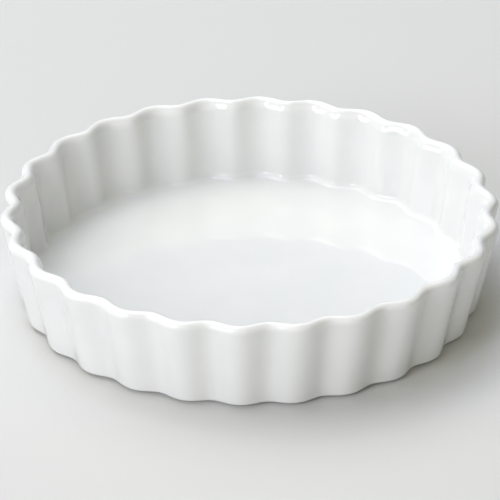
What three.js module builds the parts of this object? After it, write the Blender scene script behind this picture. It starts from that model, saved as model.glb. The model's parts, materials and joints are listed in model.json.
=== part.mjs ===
// Fluted pie plate: a round porcelain dish with its fired glaze.
// Millimetres, +Z up. The dish stands on z = 0, its axis is Z and a flute crest points along +X.
import * as THREE from "three";
import { mergeGeometries, mergeVertices } from "three/addons/utils/BufferGeometryUtils.js";

// Wall and rim, measured over the glaze
const rimDiameter = 256.5; // across opposite flute crests
const dishHeight = 51; // table to the top of the rim
const rimRadius = 3.3; // rounding of the rim over its outside and top
const rimFlareRadius = 10; // the wider curve from the rim into the inside of the wall
const rimFlareSlope = 41; // degrees above level that the surface faces where that curve starts
const wallFootThickness = 5; // square to the wall, where it meets the floor
const baseDiameter = 236; // across opposite flute crests, at the rounded bottom edge
const bottomEdgeRadius = 2.7;

// Flutes, which run from the rim to the bottom edge and show inside and outside
const fluteCount = 26;
const rimFluteDepth = 4; // crest to valley at the rim
const baseFluteDepth = 3.3; // crest to valley at the bottom edge
const crestFullness = 0.1; // makes the crests a little broader than the valleys

// Floor and foot ring
const floorThickness = 5.5;
const floorFilletRadius = 3.7; // between the floor and the inside of the wall
const undersideRecess = 3.2; // table to the underside within the foot ring
const footInset = 4.5; // from the valleys of the bottom edge in to the foot ring
const footWidth = 5;
const footChamfer = 0.4;
const footSideHeight = 0.6; // of the ring's outer side, from its chamfer up to the edge of the glaze

// Glaze
const glazeThickness = 0.35;
const glazeBond = 0.05; // hairline kept between glaze and porcelain, so that their facets never cross

// Facets
const facetsPerFlute = 6;
const rimOutsideFacets = 3;
const rimInsideFacets = 2;
const flareFacets = 2;
const edgeFacets = 3;
const filletFacets = 2;

const segments = fluteCount * facetsPerFlute;
const upwards = Math.PI / 2;
const downwards = -Math.PI / 2;

// Centres of the rim and of the rounded bottom edge, as radius and height
const bottomEdgeLift = footChamfer + footSideHeight;
const rimCentre = new THREE.Vector2(
  (rimDiameter - rimFluteDepth) / 2 - rimRadius,
  dishHeight - rimRadius,
);
const edgeCentre = new THREE.Vector2(
  (baseDiameter - baseFluteDepth) / 2 - bottomEdgeRadius,
  bottomEdgeLift + bottomEdgeRadius,
);

// The outside of the wall is the line that touches the bottom edge and the rim
const wallLine = rimCentre.clone().sub(edgeCentre);
const outsideAngle =
  wallLine.angle() - Math.acos((bottomEdgeRadius - rimRadius) / wallLine.length());
const outward = new THREE.Vector2(Math.cos(outsideAngle), Math.sin(outsideAngle));

// The floor's fillet lies the wall's thickness and its own radius inside that line
const floorHeight = undersideRecess + floorThickness;
const filletHeight = floorHeight + floorFilletRadius;
const filletDistance =
  outward.dot(edgeCentre) + bottomEdgeRadius - wallFootThickness - floorFilletRadius;
const filletCentre = new THREE.Vector2(
  (filletDistance - outward.y * filletHeight) / outward.x,
  filletHeight,
);

// The flare takes over from the rounding of the rim where the surface has its slope
const flareAngle = Math.PI - THREE.MathUtils.degToRad(rimFlareSlope);
const flareCentre = new THREE.Vector2(Math.cos(flareAngle), Math.sin(flareAngle))
  .multiplyScalar(rimRadius - rimFlareRadius)
  .add(rimCentre);

// The inside of the wall is the line that touches the flare on one side and the fillet on the other
const insideLine = filletCentre.clone().sub(flareCentre);
const insideAngle =
  insideLine.angle() - Math.acos((rimFlareRadius + floorFilletRadius) / insideLine.length());

// Foot ring
const footOuterRadius = edgeCentre.x - baseFluteDepth / 2 - footInset;
const footInnerRadius = footOuterRadius - footWidth;

// One point of a profile. A fluted point follows the flutes, any other stays on its circle.
function station(radius, height, fluted = false) {
  return { radius, height, fluted };
}

// Stations along a round stretch, which is always fluted
function arc(centre, radius, startAngle, endAngle, facets) {
  const shares = Array.from({ length: facets + 1 }, (_, step) => step / facets);
  return shares.map((share) => {
    const angle = THREE.MathUtils.lerp(startAngle, endAngle, share);
    const height = centre.y + radius * Math.sin(angle);
    return station(centre.x + radius * Math.cos(angle), height, true);
  });
}

// From the foot ring round the bottom edge, up the outside, over the rim and down to the middle of
// the floor, at a depth under the surface of the glaze
function dishProfile(depth, footRadius) {
  return [
    station(footRadius, bottomEdgeLift + depth),
    ...arc(edgeCentre, bottomEdgeRadius - depth, downwards, outsideAngle, edgeFacets),
    ...arc(rimCentre, rimRadius - depth, outsideAngle, upwards, rimOutsideFacets),
    ...arc(rimCentre, rimRadius - depth, upwards, flareAngle, rimInsideFacets),
    ...arc(flareCentre, rimFlareRadius - depth, flareAngle, insideAngle, flareFacets),
    ...arc(filletCentre, floorFilletRadius + depth, insideAngle - Math.PI, downwards, filletFacets),
    station(0, floorHeight - depth),
  ];
}

// Radius of a station at an angle round the axis. The flutes are a cosine wave whose flanks are pushed
// out, and their depth goes from that of the bottom edge to that of the rim.
function flutedRadius({ radius, height, fluted }, angle) {
  if (!fluted) return radius;
  const share = THREE.MathUtils.inverseLerp(edgeCentre.y, rimCentre.y, height);
  const reach = THREE.MathUtils.clamp(share, 0, 1);
  const wave = THREE.MathUtils.lerp(baseFluteDepth, rimFluteDepth, reach) / 2;
  const turn = fluteCount * angle;
  return radius + wave * (Math.cos(turn) + crestFullness * Math.sin(turn) ** 2);
}

// A skin: the profile turned about the axis, with its fluted stations pushed in and out.
// A profile that goes up faces outwards.
function skin(profile) {
  const turned = new THREE.LatheGeometry(
    profile.map(({ radius, height }) => new THREE.Vector2(radius, height)),
    segments,
  );
  const position = turned.getAttribute("position");
  for (let i = 0; i < position.count; i += 1) {
    const place = profile[i % profile.length];
    const column = Math.floor(i / profile.length) % segments;
    const angle = (2 * Math.PI * column) / segments;
    const radius = flutedRadius(place, angle);
    position.setXYZ(i, radius * Math.cos(angle), radius * Math.sin(angle), place.height);
  }
  turned.deleteAttribute("normal");
  turned.deleteAttribute("uv");
  return turned;
}

// The same skin facing the other way, with its facets split along the same diagonals
function reversed(source) {
  const turned = source.clone();
  const index = turned.getIndex();
  for (let i = 0; i < index.count; i += 3) {
    const second = index.getX(i + 1);
    index.setX(i + 1, index.getX(i + 2));
    index.setX(i + 2, second);
  }
  return turned;
}

// Skins that meet at their edges, sewn into one closed solid without the empty triangles at the axis
function closedSolid(skins) {
  const solid = mergeVertices(mergeGeometries(skins));
  const corners = Array.from(solid.getIndex().array);
  const faces = [];
  for (let i = 0; i < corners.length; i += 3) {
    const face = corners.slice(i, i + 3);
    if (new Set(face).size === 3) faces.push(...face);
  }
  solid.setIndex(faces);
  solid.computeVertexNormals();
  return solid;
}

function piece(name, skins, material) {
  const mesh = new THREE.Mesh(closedSolid(skins), material);
  mesh.name = name;
  return mesh;
}

// The fired porcelain: floor, fluted wall, rim and bare foot ring in one casting
function porcelainBody() {
  const glazeDepth = glazeThickness + glazeBond;
  const underside = undersideRecess + glazeDepth;
  const profile = [
    station(0, underside),
    station(footInnerRadius, underside),
    station(footInnerRadius, footChamfer),
    station(footInnerRadius + footChamfer, 0),
    station(footOuterRadius - footChamfer, 0),
    station(footOuterRadius, footChamfer),
    ...dishProfile(glazeDepth, footOuterRadius),
  ];
  const biscuit = new THREE.MeshStandardMaterial({ color: 0xe8e3d8, roughness: 0.85, metalness: 0 });
  return piece("porcelain_body", [skin(profile)], biscuit);
}

// The coat of glaze over the inside, the rim and the outside, down to the foot ring
function glazeCoat() {
  const surface = dishProfile(0, footOuterRadius + glazeBond);
  const back = dishProfile(glazeThickness, footOuterRadius + glazeBond);
  const edge = [back[0], surface[0]];
  const gloss = new THREE.MeshStandardMaterial({ color: 0xf4f5f4, roughness: 0.06, metalness: 0 });
  return piece("glaze_coat", [skin(surface), reversed(skin(back)), skin(edge)], gloss);
}

// The separate disc of glaze within the foot ring
function undersideGlaze() {
  const radius = footInnerRadius - glazeBond;
  const top = undersideRecess + glazeThickness;
  const profile = [
    station(0, undersideRecess),
    station(radius, undersideRecess),
    station(radius, top),
    station(0, top),
  ];
  const gloss = new THREE.MeshStandardMaterial({ color: 0xf1f2f0, roughness: 0.12, metalness: 0 });
  return piece("underside_glaze", [skin(profile)], gloss);
}

const piePlate = new THREE.Group();
piePlate.add(porcelainBody(), glazeCoat(), undersideGlaze());

export default piePlate;
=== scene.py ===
"""A white glazed porcelain pie plate with a fluted wall, standing on a pale table in soft light."""
import json
import math

import bmesh
import bpy
from bpy.props import FloatProperty, FloatVectorProperty, IntProperty, PointerProperty
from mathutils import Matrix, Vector


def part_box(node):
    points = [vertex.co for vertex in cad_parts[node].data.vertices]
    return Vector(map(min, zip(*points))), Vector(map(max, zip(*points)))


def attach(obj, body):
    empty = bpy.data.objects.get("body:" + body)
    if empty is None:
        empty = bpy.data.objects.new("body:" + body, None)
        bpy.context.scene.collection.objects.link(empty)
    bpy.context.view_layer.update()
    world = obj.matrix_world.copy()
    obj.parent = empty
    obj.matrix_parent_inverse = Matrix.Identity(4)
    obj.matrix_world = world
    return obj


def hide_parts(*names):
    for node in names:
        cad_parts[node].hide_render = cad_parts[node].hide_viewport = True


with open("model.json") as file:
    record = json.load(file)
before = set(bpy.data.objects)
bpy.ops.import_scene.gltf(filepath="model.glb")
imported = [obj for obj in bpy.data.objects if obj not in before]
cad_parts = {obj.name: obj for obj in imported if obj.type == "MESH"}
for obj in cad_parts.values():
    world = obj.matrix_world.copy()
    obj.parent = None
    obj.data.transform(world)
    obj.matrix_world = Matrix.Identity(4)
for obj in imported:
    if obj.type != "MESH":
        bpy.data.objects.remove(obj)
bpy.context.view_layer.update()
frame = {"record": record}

bl_info = {
    "name": "Fluted Pie Plate",
    "version": (1, 0, 0),
    "blender": (4, 5, 0),
    "location": "3D View > Sidebar > Pie Plate",
    "description": "Models a glazed porcelain pie plate and sets it on a lit table",
    "category": "Add Mesh",
}

BODY = "root"
GLAZE_LOW, GLAZE_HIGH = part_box("glaze_coat")
UNDERSIDE_LOW, UNDERSIDE_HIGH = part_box("underside_glaze")
FLOOR_MOUNT = next(mount for mount in frame["record"]["mounts"] if mount["name"] == "floor")
FACET_ALLOWANCE = 0.0003  # keeps the smooth rim within the box of the faceted one
MERGE_DISTANCE = 1e-6
SHARP_ANGLE = math.radians(50.0)
QUARTER_TURN = math.pi / 2
UPWARDS = QUARTER_TURN
DOWNWARDS = -QUARTER_TURN
EDGE_STEPS = 4  # facets of the small rounded edges under the dish

# Values of a noise between which a pattern fades from one look to the other
CLOUD_FADE = (0.35, 0.70)
SCUFF_FADE = (0.42, 0.66)
EVEN_FADE = (0.3, 0.7)


def length(name, description, default):
    """A size in metres that a user may change."""
    return FloatProperty(
        name=name, description=description, default=default, min=0.0, precision=5, unit="LENGTH"
    )


def angle(name, description, degrees):
    """An angle that a user may change."""
    return FloatProperty(
        name=name, description=description, default=math.radians(degrees), subtype="ANGLE"
    )


def number(name, description, default):
    """A plain number that a user may change."""
    return FloatProperty(name=name, description=description, default=default, min=0.0)


def colour(name, description, default):
    """A linear colour that a user may change."""
    return FloatVectorProperty(
        name=name, description=description, default=default, size=3, min=0.0, max=1.0, subtype="COLOR"
    )


def roughness_range(name, description, least, most):
    """The least and the most roughness of a surface, which a user may change."""
    return FloatVectorProperty(
        name=name, description=description, default=(least, most), size=2, min=0.0, max=1.0
    )


class DishSizes(bpy.types.PropertyGroup):
    """Sizes of the dish, over the glaze where no other surface is named"""

    rim_diameter: length(
        "Rim Diameter",
        "Across opposite flute crests at the rim",
        GLAZE_HIGH.x - GLAZE_LOW.x - FACET_ALLOWANCE,
    )
    height: length("Height", "From the table to the top of the rim", GLAZE_HIGH.z)
    rim_radius: length("Rim Radius", "Rounding of the rim over its outside and top", 0.0033)
    rim_flare_radius: length("Rim Flare Radius", "Of the wider curve from the rim into the wall", 0.01)
    rim_flare_slope: angle("Rim Flare Slope", "How far the surface faces up where the flare starts", 41.0)
    wall_foot_thickness: length("Wall Foot Thickness", "Of the wall, where it meets the floor", 0.005)
    base_diameter: length("Base Diameter", "Across opposite flute crests at the bottom edge", 0.236)
    bottom_edge_radius: length("Bottom Edge Radius", "Rounding of the bottom edge", 0.0027)
    flute_count: IntProperty(
        name="Flutes", description="Number of flutes round the wall", default=26, min=3
    )
    rim_flute_depth: length("Rim Flute Depth", "Crest to valley at the rim", 0.004)
    base_flute_depth: length("Base Flute Depth", "Crest to valley at the bottom edge", 0.0033)
    crest_fullness: number("Crest Fullness", "Makes the crests broader than the valleys", 0.1)
    floor_height: length(
        "Floor Height", "From the table to the floor of the dish", FLOOR_MOUNT["pos_m"][2]
    )
    floor_fillet_radius: length("Floor Fillet", "Between the floor and the inside of the wall", 0.0037)
    glaze_lift: length("Glaze Lift", "From the table to the lowest glaze", GLAZE_LOW.z)
    underside_height: length(
        "Underside Height", "From the table to the glaze within the foot ring", UNDERSIDE_LOW.z
    )
    glaze_thickness: length(
        "Glaze Thickness", "Of the fired glaze", UNDERSIDE_HIGH.z - UNDERSIDE_LOW.z
    )
    glaze_bond: length("Glaze Bond", "Hairline between the glaze and the porcelain", 0.00005)
    foot_width: length("Foot Width", "Of the bare ring that the dish stands on", 0.005)
    foot_rounding: length("Foot Rounding", "Of the two edges of the foot ring", 0.0004)


class DishFinish(bpy.types.PropertyGroup):
    """Colours and surface of the glaze and of the bare porcelain"""

    glaze: colour("Glaze", "Glaze of full thickness", (0.76, 0.765, 0.765))
    thin_glaze: colour("Thin Glaze", "Glaze that ran thin over the rim", (0.765, 0.767, 0.762))
    thin_glaze_reach: length("Thin Glaze Reach", "How far below the rim's top the glaze is thin", 0.0035)
    pooled_glaze: colour("Pooled Glaze", "Glaze that gathered before it set", (0.74, 0.75, 0.75))
    glaze_clouds: number("Glaze Clouds", "Patches of pooled glaze to the metre", 38.0)
    glaze_index: number("Glaze Index", "Refractive index of the glaze", 1.55)
    dish_roughness: roughness_range("Dish Roughness", "Of the glaze over the dish", 0.01, 0.03)
    underside_roughness: roughness_range(
        "Underside Roughness", "Of the glaze within the foot ring", 0.08, 0.16
    )
    dull_patches: number("Dull Patches", "Patches of rougher glaze to the metre", 420.0)
    glaze_waves: number("Glaze Waves", "Faint waves of the glaze to the metre", 70.0)
    glaze_dimples: number("Glaze Dimples", "Fine dimples of the glaze to the metre", 600.0)
    biscuit: colour("Biscuit", "Bare fired porcelain", (0.80, 0.77, 0.70))
    biscuit_grain: number("Biscuit Grain", "Grains of the bare porcelain to the metre", 2600.0)
    biscuit_roughness: roughness_range("Biscuit Roughness", "Of the bare porcelain", 0.72, 0.92)
    rubbed_biscuit: colour(
        "Rubbed Biscuit", "Bare porcelain that was rubbed on shelves", (0.62, 0.59, 0.53)
    )
    foot_scuffs: number("Foot Scuffs", "Rubbed patches of the foot ring to the metre", 240.0)


class StageSettings(bpy.types.PropertyGroup):
    """Table, light and camera"""

    table_size: length("Table Size", "Side of the square table", 24.0)
    table: colour("Table", "Colour of the table", (0.62, 0.62, 0.615))
    table_roughness: number("Table Roughness", "Of the table's surface", 0.7)
    lamp_distance: length("Lamp Distance", "From the dish to every softbox", 3.0)
    daylight: colour("Daylight", "Colour of the window and of the main softboxes", (0.93, 0.94, 1.0))
    sky_light: colour("Sky Light", "Colour of the light from above", (0.83, 0.87, 1.0))
    backdrop_light: colour("Backdrop Light", "Colour of the wall behind the table", (0.69, 0.79, 1.0))
    fill_light: colour("Fill Light", "Colour of the fill from the front", (1.0, 0.99, 0.89))
    warm_light: colour("Warm Light", "Colour of the softboxes with a warm cloth", (1.0, 0.94, 0.6))
    view_azimuth: angle("View Azimuth", "Round the axis, from the front towards the right", -4.43)
    view_elevation: angle("View Elevation", "Of the camera above the table", 29.175)
    view_distance: length("View Distance", "From the camera to the foot's centre", 2.36)
    aim_height: length("Aim Height", "Point on the axis that the camera looks at", 0.0253)
    lens: FloatProperty(
        name="Lens", description="Focal length", default=328.6, min=1.0, subtype="DISTANCE_CAMERA"
    )


def on_arc(centre, radius, direction):
    """Point of a circle, as radius and height."""
    return (centre.x + radius * math.cos(direction), centre.y + radius * math.sin(direction))


class DishShape:
    """Centres and angles of the dish's profile, as radius and height, worked out from its sizes."""

    def __init__(self, sizes):
        self.sizes = sizes
        self.rim_wave = sizes.rim_flute_depth / 2
        self.base_wave = sizes.base_flute_depth / 2
        self.rim_centre = Vector((
            sizes.rim_diameter / 2 - self.rim_wave - sizes.rim_radius,
            sizes.height - sizes.rim_radius,
        ))
        self.edge_centre = Vector((
            sizes.base_diameter / 2 - self.base_wave - sizes.bottom_edge_radius,
            sizes.glaze_lift + sizes.bottom_edge_radius,
        ))
        # The outside of the wall touches the bottom edge and the rim
        wall = self.rim_centre - self.edge_centre
        self.outside_angle = math.atan2(wall.y, wall.x) - math.acos(
            (sizes.bottom_edge_radius - sizes.rim_radius) / wall.length
        )
        outward = Vector((math.cos(self.outside_angle), math.sin(self.outside_angle)))
        # The floor's fillet lies the wall's thickness and its own radius inside that line
        fillet_height = sizes.floor_height + sizes.floor_fillet_radius
        fillet_distance = (
            outward.dot(self.edge_centre)
            + sizes.bottom_edge_radius
            - sizes.wall_foot_thickness
            - sizes.floor_fillet_radius
        )
        fillet_place = (fillet_distance - outward.y * fillet_height) / outward.x
        self.fillet_centre = Vector((fillet_place, fillet_height))
        # The flare goes on from the rim's round with a wider curve
        self.flare_angle = math.pi - sizes.rim_flare_slope
        flare_offset = sizes.rim_radius - sizes.rim_flare_radius
        self.flare_centre = Vector(on_arc(self.rim_centre, flare_offset, self.flare_angle))
        # The inside of the wall touches the flare on one side and the fillet on the other
        inside = self.fillet_centre - self.flare_centre
        self.inside_angle = math.atan2(-inside.y, -inside.x) + math.pi - math.acos(
            (sizes.rim_flare_radius + sizes.floor_fillet_radius) / inside.length
        )
        self.foot_inner_radius = UNDERSIDE_HIGH.x + sizes.glaze_bond
        self.foot_outer_radius = self.foot_inner_radius + sizes.foot_width

    def fluted_radius(self, radius, height, turn):
        """Radius of a point once the flutes have pushed it in or out."""
        share = (height - self.edge_centre.y) / (self.rim_centre.y - self.edge_centre.y)
        reach = min(max(share, 0.0), 1.0)
        wave = self.base_wave + reach * (self.rim_wave - self.base_wave)
        phase = self.sizes.flute_count * turn
        return radius + wave * (math.cos(phase) + self.sizes.crest_fullness * math.sin(phase) ** 2)

    def flute_share(self, radius):
        """How far a point follows the flutes: not at all at the foot ring, fully from the fillet on."""
        inner = self.foot_outer_radius + self.sizes.glaze_bond
        return min(max((radius - inner) / (self.fillet_centre.x - inner), 0.0), 1.0)


class ProfileLine:
    """A line drawn from point to point in the XZ plane, to be turned about the dish's axis."""

    def __init__(self, mesh, radius, height):
        self.mesh = mesh
        self.tip = bmesh.ops.create_vert(mesh, co=(radius, 0.0, height))["vert"][0]
        self.start = self.tip

    def straight(self, radius, height, steps=1):
        """Goes on to a point in equal steps."""
        begin = self.tip.co.copy()
        end = Vector((radius, 0.0, height))
        for step in range(1, steps + 1):
            self.tip = bmesh.ops.extrude_vert_indiv(self.mesh, verts=[self.tip])["verts"][0]
            self.tip.co = begin.lerp(end, step / steps)

    def round(self, centre, turn, steps):
        """Goes on along an arc about a centre. A positive turn runs from outwards to upwards."""
        made = bmesh.ops.spin(
            self.mesh,
            geom=[self.tip],
            cent=(centre.x, 0.0, centre.y),
            axis=(0.0, -1.0, 0.0),
            angle=turn,
            steps=steps,
        )
        self.tip = made["geom_last"][0]


def draw_dish_line(mesh, shape, depth, foot_radius, fineness):
    """Draws the dish's section at a depth under its surface: from the foot over the rim to the axis.

    The fineness multiplies the number of facets of every stretch.
    """
    sizes = shape.sizes
    edge_radius = sizes.bottom_edge_radius - depth
    rim_radius = sizes.rim_radius - depth
    fillet_radius = sizes.floor_fillet_radius + depth
    fillet_start = shape.inside_angle - math.pi
    floor_height = sizes.floor_height - depth
    line = ProfileLine(mesh, foot_radius, sizes.glaze_lift + depth)
    line.straight(*on_arc(shape.edge_centre, edge_radius, DOWNWARDS), steps=fineness)
    line.round(shape.edge_centre, shape.outside_angle - DOWNWARDS, steps=3 * fineness)
    line.straight(*on_arc(shape.rim_centre, rim_radius, shape.outside_angle), steps=2 * fineness)
    line.round(shape.rim_centre, UPWARDS - shape.outside_angle, steps=4 * fineness)
    line.round(shape.rim_centre, shape.flare_angle - UPWARDS, steps=2 * fineness)
    line.round(shape.flare_centre, shape.inside_angle - shape.flare_angle, steps=2 * fineness)
    line.straight(*on_arc(shape.fillet_centre, fillet_radius, fillet_start), steps=2 * fineness)
    line.round(shape.fillet_centre, DOWNWARDS - fillet_start, steps=4 * fineness)
    line.straight(shape.foot_outer_radius, floor_height)
    line.straight(0.0, floor_height, steps=2 * fineness)
    return line


def turn_about_axis(mesh, flutes, columns):
    """Turns the drawn line through the width of one flute and repeats that sector round the axis."""
    sector = 2.0 * math.pi / flutes
    about = {"cent": (0.0, 0.0, 0.0), "axis": (0.0, 0.0, 1.0)}
    bmesh.ops.spin(mesh, geom=mesh.verts[:] + mesh.edges[:], angle=sector, steps=columns, **about)
    bmesh.ops.spin(
        mesh,
        geom=mesh.verts[:] + mesh.edges[:] + mesh.faces[:],
        angle=sector * (flutes - 1),
        steps=flutes - 1,
        use_duplicate=True,
        **about,
    )
    bmesh.ops.remove_doubles(mesh, verts=mesh.verts, dist=MERGE_DISTANCE)


def press_flutes(mesh, shape):
    """Pushes the round wall in and out along its flutes."""
    for vert in mesh.verts:
        radius = math.hypot(vert.co.x, vert.co.y)
        share = shape.flute_share(radius)
        if share > 0.0:
            turn = math.atan2(vert.co.y, vert.co.x)
            fluted = shape.fluted_radius(radius, vert.co.z, turn)
            scale = (radius + share * (fluted - radius)) / radius
            vert.co.x *= scale
            vert.co.y *= scale


def finish_piece(mesh, name, node, material):
    """Makes a shaded object of a modelled piece, in place of its node."""
    bmesh.ops.recalc_face_normals(mesh, faces=mesh.faces)
    data = bpy.data.meshes.new(name)
    mesh.to_mesh(data)
    mesh.free()
    data.shade_smooth()
    data.set_sharp_from_angle(angle=SHARP_ANGLE)
    data.materials.append(material)
    piece = bpy.data.objects.new(name, data)
    bpy.context.scene.collection.objects.link(piece)
    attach(piece, BODY)
    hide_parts(node)


class MaterialMaker:
    """A new material with a Principled shader, and short ways to add nodes to it."""

    def __init__(self, name):
        self.material = bpy.data.materials.new(name)
        self.material.use_nodes = True
        self.tree = self.material.node_tree
        self.shader = self.tree.nodes["Principled BSDF"]
        self.place = self.tree.nodes.new("ShaderNodeTexCoord").outputs["Object"]

    def link(self, output, target):
        self.tree.links.new(output, target)

    def feed(self, socket, output):
        """Leads a node's output into one of the shader's sockets."""
        self.link(output, self.shader.inputs[socket])

    def noise(self, patches, detail=2.0, roughness=0.5):
        """Cloudy noise with a number of patches to the metre."""
        node = self.tree.nodes.new("ShaderNodeTexNoise")
        node.inputs["Scale"].default_value = patches
        node.inputs["Detail"].default_value = detail
        node.inputs["Roughness"].default_value = roughness
        self.link(self.place, node.inputs["Vector"])
        return node.outputs["Fac"]

    def height(self):
        """Height above the table."""
        node = self.tree.nodes.new("ShaderNodeSeparateXYZ")
        self.link(self.place, node.inputs["Vector"])
        return node.outputs["Z"]

    def fade(self, value, between, result=(0.0, 1.0)):
        """Turns a value between two limits into one between two results, with soft ends."""
        low, high = between
        first, last = result
        node = self.tree.nodes.new("ShaderNodeMapRange")
        node.interpolation_type = "SMOOTHSTEP"
        node.inputs["From Min"].default_value = low
        node.inputs["From Max"].default_value = high
        node.inputs["To Min"].default_value = first
        node.inputs["To Max"].default_value = last
        self.link(value, node.inputs["Value"])
        return node.outputs["Result"]

    def product(self, first, second):
        """Multiplies two values."""
        node = self.tree.nodes.new("ShaderNodeMath")
        node.operation = "MULTIPLY"
        self.link(first, node.inputs[0])
        self.link(second, node.inputs[1])
        return node.outputs["Value"]

    def blend(self, share, first, second):
        """Mixes two colours, each a colour value or another node's output."""
        node = self.tree.nodes.new("ShaderNodeMix")
        node.data_type = "RGBA"
        self.link(share, node.inputs["Factor"])
        for socket, paint in (("A_Color", first), ("B_Color", second)):
            target = next(item for item in node.inputs if item.identifier == socket)
            if isinstance(paint, bpy.types.NodeSocket):
                self.link(paint, target)
            else:
                target.default_value = (*paint, 1.0)
        return next(item for item in node.outputs if item.identifier == "Result_Color")

    def bump(self, relief, depth, strength, under=None):
        """Turns a relief into surface normals, over another bump where one is given."""
        node = self.tree.nodes.new("ShaderNodeBump")
        node.inputs["Strength"].default_value = strength
        node.inputs["Distance"].default_value = depth
        self.link(relief, node.inputs["Height"])
        if under is not None:
            self.link(under, node.inputs["Normal"])
        return node.outputs["Normal"]


def glaze_material(name, finish, sizes, roughness):
    """Glossy white glaze: cloudy where it ran thick and thin, with a faintly wavy surface."""
    maker = MaterialMaker(name)
    clouds = maker.fade(maker.noise(finish.glaze_clouds), CLOUD_FADE)
    body = maker.blend(clouds, finish.glaze, finish.pooled_glaze)
    rim = maker.fade(maker.height(), (sizes.height - finish.thin_glaze_reach, sizes.height))
    maker.feed("Base Color", maker.blend(rim, body, finish.thin_glaze))
    maker.feed("Roughness", maker.fade(maker.noise(finish.dull_patches), EVEN_FADE, roughness))
    waves = maker.noise(finish.glaze_waves, detail=0.0)
    wavy = maker.bump(waves, depth=0.0004, strength=0.012)
    dimples = maker.noise(finish.glaze_dimples, detail=1.0)
    maker.feed("Normal", maker.bump(dimples, depth=0.00004, strength=0.02, under=wavy))
    maker.shader.inputs["IOR"].default_value = finish.glaze_index
    return maker.material


def biscuit_material(finish, sizes):
    """Matt bare porcelain with a fine grain, rubbed grey where the dish stands."""
    maker = MaterialMaker("bare_biscuit")
    low = maker.fade(maker.height(), (sizes.foot_rounding, 0.0))
    scuffs = maker.fade(maker.noise(finish.foot_scuffs, detail=6.0, roughness=0.7), SCUFF_FADE)
    rubbed = maker.product(low, scuffs)
    maker.feed("Base Color", maker.blend(rubbed, finish.biscuit, finish.rubbed_biscuit))
    grain = maker.noise(finish.biscuit_grain, detail=4.0, roughness=0.65)
    maker.feed("Roughness", maker.fade(grain, EVEN_FADE, finish.biscuit_roughness))
    maker.feed("Normal", maker.bump(grain, depth=0.00006, strength=0.5))
    return maker.material


class PIEPLATE_OT_porcelain(bpy.types.Operator):
    """Makes the porcelain casting with its bare foot ring"""

    bl_idname = "pie_plate.porcelain"
    bl_label = "Porcelain Casting"
    bl_options = {"REGISTER", "UNDO"}

    def execute(self, context):
        sizes = context.scene.dish_sizes
        shape = DishShape(sizes)
        depth = sizes.glaze_thickness + sizes.glaze_bond
        rounding = sizes.foot_rounding
        outer_edge = Vector((shape.foot_outer_radius - rounding, rounding))
        inner_edge = Vector((shape.foot_inner_radius + rounding, rounding))
        recess_height = sizes.underside_height + depth
        mesh = bmesh.new()
        dish = draw_dish_line(mesh, shape, depth, shape.foot_outer_radius, fineness=2)
        foot = ProfileLine(mesh, shape.foot_outer_radius, rounding)
        bmesh.ops.contextual_create(mesh, geom=[dish.start, foot.start])
        foot.round(outer_edge, -QUARTER_TURN, steps=EDGE_STEPS)
        foot.straight(inner_edge.x, 0.0, steps=2)
        foot.round(inner_edge, -QUARTER_TURN, steps=EDGE_STEPS)
        foot.straight(shape.foot_inner_radius, recess_height, steps=2)
        foot.straight(0.0, recess_height, steps=2)
        turn_about_axis(mesh, sizes.flute_count, columns=16)
        press_flutes(mesh, shape)
        material = biscuit_material(context.scene.dish_finish, sizes)
        finish_piece(mesh, "porcelain_casting", "porcelain_body", material)
        return {"FINISHED"}


class PIEPLATE_OT_glaze(bpy.types.Operator):
    """Makes the coat of glaze over the inside, the rim and the outside"""

    bl_idname = "pie_plate.glaze"
    bl_label = "Glaze Coat"
    bl_options = {"REGISTER", "UNDO"}

    def execute(self, context):
        sizes = context.scene.dish_sizes
        finish = context.scene.dish_finish
        shape = DishShape(sizes)
        foot_radius = shape.foot_outer_radius + sizes.glaze_bond
        mesh = bmesh.new()
        surface = draw_dish_line(mesh, shape, 0.0, foot_radius, fineness=3)
        back = draw_dish_line(mesh, shape, sizes.glaze_thickness, foot_radius, fineness=1)
        bmesh.ops.contextual_create(mesh, geom=[surface.start, back.start])
        turn_about_axis(mesh, sizes.flute_count, columns=32)
        press_flutes(mesh, shape)
        material = glaze_material("white_dish_glaze", finish, sizes, finish.dish_roughness)
        finish_piece(mesh, "dish_glaze", "glaze_coat", material)
        return {"FINISHED"}


class PIEPLATE_OT_underside(bpy.types.Operator):
    """Makes the disc of glaze within the foot ring"""

    bl_idname = "pie_plate.underside"
    bl_label = "Underside Glaze"
    bl_options = {"REGISTER", "UNDO"}

    def execute(self, context):
        sizes = context.scene.dish_sizes
        finish = context.scene.dish_finish
        shape = DishShape(sizes)
        radius = shape.foot_inner_radius - sizes.glaze_bond
        rounding = sizes.glaze_thickness / 2
        edge = Vector((radius - rounding, sizes.underside_height + rounding))
        top = sizes.underside_height + sizes.glaze_thickness
        mesh = bmesh.new()
        disc = ProfileLine(mesh, 0.0, sizes.underside_height)
        disc.straight(edge.x, sizes.underside_height, steps=4)
        disc.round(edge, QUARTER_TURN, steps=EDGE_STEPS)
        disc.straight(radius, top)
        disc.straight(0.0, top, steps=4)
        turn_about_axis(mesh, sizes.flute_count, columns=8)
        material = glaze_material("white_underside_glaze", finish, sizes, finish.underside_roughness)
        finish_piece(mesh, "underside_glaze_disc", "underside_glaze", material)
        return {"FINISHED"}


def towards(azimuth, elevation):
    """Direction from the dish, with the azimuth from the front towards the right."""
    return Vector((
        math.sin(azimuth) * math.cos(elevation),
        -math.cos(azimuth) * math.cos(elevation),
        math.sin(elevation),
    ))


def look_at(item, place, aim):
    """Puts a lamp or camera in a place, turned to a point."""
    item.location = place
    item.rotation_mode = "QUATERNION"
    item.rotation_quaternion = (aim - place).to_track_quat("-Z", "Y")


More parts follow.
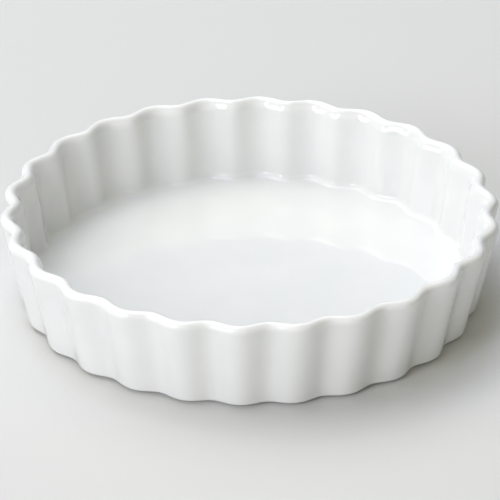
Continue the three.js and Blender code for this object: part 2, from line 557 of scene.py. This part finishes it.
class PIEPLATE_OT_stage(bpy.types.Operator):
    """Sets the table, the light and the camera"""

    bl_idname = "pie_plate.stage"
    bl_label = "Table, Light and Camera"
    bl_options = {"REGISTER", "UNDO"}

    def execute(self, context):
        scene = context.scene
        settings = scene.dish_stage
        self.make_table(scene, settings)
        self.make_light(scene, settings)
        self.make_camera(scene, settings)
        scene.view_settings.view_transform = "Standard"
        return {"FINISHED"}

    def make_table(self, scene, settings):
        """A square table top at the height of the foot ring."""
        mesh = bmesh.new()
        bmesh.ops.create_grid(mesh, x_segments=1, y_segments=1, size=settings.table_size / 2)
        data = bpy.data.meshes.new("table_top")
        mesh.to_mesh(data)
        mesh.free()
        maker = MaterialMaker("pale_table")
        maker.shader.inputs["Base Color"].default_value = (*settings.table, 1.0)
        maker.shader.inputs["Roughness"].default_value = settings.table_roughness
        data.materials.append(maker.material)
        table = bpy.data.objects.new("table_top", data)
        scene.collection.objects.link(table)

    def make_light(self, scene, settings):
        """A dark room, with its main light from the left and from behind and weaker light all round."""
        world = bpy.data.worlds.new("dark_room")
        world.use_nodes = True
        world.node_tree.nodes["Background"].inputs["Strength"].default_value = 0.0
        scene.world = world

        def softbox(name, azimuth, elevation, width, height, power, paint):
            """Hangs a lamp that the camera doesn't see, by angles in degrees, metres and watts."""
            lamp = bpy.data.lights.new(name, "AREA")
            lamp.shape = "RECTANGLE"
            lamp.size = width
            lamp.size_y = height
            lamp.energy = power
            lamp.color = paint
            box = bpy.data.objects.new(name, lamp)
            box.visible_camera = False
            scene.collection.objects.link(box)
            direction = towards(math.radians(azimuth), math.radians(elevation))
            look_at(box, direction * settings.lamp_distance, Vector((0.0, 0.0, 0.0)))

        softbox("window", -42, 30, 0.85, 1.35, 29, settings.daylight)
        softbox("low_left_softbox", -64, 16, 2.2, 1.1, 30, settings.daylight)
        softbox("high_left_softbox", -108, 50, 2.2, 1.8, 22, settings.warm_light)
        softbox("overhead_softbox", -115, 74, 1.9, 1.9, 40, settings.sky_light)
        softbox("back_softbox", -165, 52, 2.6, 1.6, 35.5, settings.daylight)
        softbox("backdrop", 180, 25, 5.0, 1.8, 15.5, settings.backdrop_light)
        softbox("right_fill", 110, 55, 2.6, 2.0, 10, settings.warm_light)
        softbox("front_fill", 8, 26, 4.0, 2.6, 35, settings.fill_light)

    def make_camera(self, scene, settings):
        """A camera with a long lens, aimed at the dish's axis."""
        data = bpy.data.cameras.new("view")
        data.lens = settings.lens
        camera = bpy.data.objects.new("view", data)
        scene.collection.objects.link(camera)
        place = towards(settings.view_azimuth, settings.view_elevation) * settings.view_distance
        look_at(camera, place, Vector((0.0, 0.0, settings.aim_height)))
        scene.camera = camera


class PIEPLATE_PT_sidebar(bpy.types.Panel):
    """Lists the pieces of the dish and its settings"""

    bl_idname = "PIEPLATE_PT_sidebar"
    bl_label = "Pie Plate"
    bl_space_type = "VIEW_3D"
    bl_region_type = "UI"
    bl_category = "Pie Plate"

    def draw(self, context):
        layout = self.layout
        for operator in OPERATORS:
            layout.operator(operator.bl_idname)
        for group in (context.scene.dish_sizes, context.scene.dish_finish, context.scene.dish_stage):
            column = layout.box().column()
            for name in group.__annotations__:
                column.prop(group, name)


OPERATORS = (PIEPLATE_OT_porcelain, PIEPLATE_OT_glaze, PIEPLATE_OT_underside, PIEPLATE_OT_stage)
GROUPS = {"dish_sizes": DishSizes, "dish_finish": DishFinish, "dish_stage": StageSettings}
CLASSES = (*GROUPS.values(), *OPERATORS, PIEPLATE_PT_sidebar)


def register():
    for item in CLASSES:
        bpy.utils.register_class(item)
    for name, group in GROUPS.items():
        setattr(bpy.types.Scene, name, PointerProperty(type=group))


def unregister():
    for name in GROUPS:
        delattr(bpy.types.Scene, name)
    for item in reversed(CLASSES):
        bpy.utils.unregister_class(item)


def main():
    register()
    bpy.ops.pie_plate.stage()
    bpy.ops.pie_plate.porcelain()
    bpy.ops.pie_plate.glaze()
    bpy.ops.pie_plate.underside()


if __name__ == "__main__":
    main()
